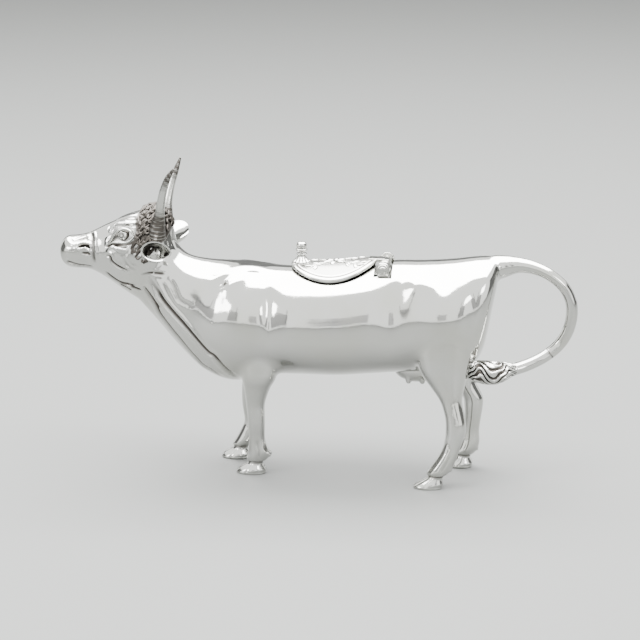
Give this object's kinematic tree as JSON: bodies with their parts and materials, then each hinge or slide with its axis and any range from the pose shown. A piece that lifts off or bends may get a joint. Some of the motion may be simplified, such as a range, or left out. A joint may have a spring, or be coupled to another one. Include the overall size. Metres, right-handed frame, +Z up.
{
  "type": "cream jug",
  "caption": "Silver cream jug in the form of a walking cow: hollow body, hinged lid in the back, open mouth to pour from and a looped tail handle.",
  "frame": {"origin": "on the ground under the middle of the jug's overall length and width", "axes": "+X from the muzzle to the tail, +Y to the cow's right side, +Z up"},
  "size_m": [0.1499, 0.0337, 0.0907],
  "materials": {
    "raised_silver": "polished silver sheet, planished, with soft fine scratches",
    "cast_silver": "polished cast silver, darkened in the chased lines",
    "oxidised_silver": "bright silver hair locks with oxidised black grooves",
    "hinge_silver": "polished silver tube and domed caps, dark in the joints",
    "lid_silver": "bright silver with chased flowers in low relief"
  },
  "bodies": {
    "jug": {"body_left": "raised_silver", "body_right": "raised_silver", "head_left": "raised_silver", "head_right": "raised_silver", "horn_left": "cast_silver", "horn_right": "cast_silver", "ear_left": "cast_silver", "ear_right": "cast_silver", "foreleg_left": "cast_silver", "foreleg_right": "cast_silver", "hindleg_left": "cast_silver", "hindleg_right": "cast_silver", "udder": "cast_silver", "tail_loop": "cast_silver", "tail_end": "cast_silver", "tail_tuft": "oxidised_silver", "hinge_knuckle_left": "hinge_silver", "hinge_knuckle_right": "hinge_silver", "hinge_pin": "hinge_silver", "hinge_cap_left": "hinge_silver", "hinge_cap_right": "hinge_silver"},
    "lid": {"lid_cover": "lid_silver", "lid_flange": "lid_silver", "lid_knuckle": "hinge_silver", "lid_finial": "cast_silver"}
  },
  "joints": [
    {"name": "lid_hinge", "type": "hinge", "parent": "jug", "child": "lid", "pos_m": [0.0198, 0, 0.06198], "axis": [0, 1, 0], "range_deg": [0, 100]}
  ]
}
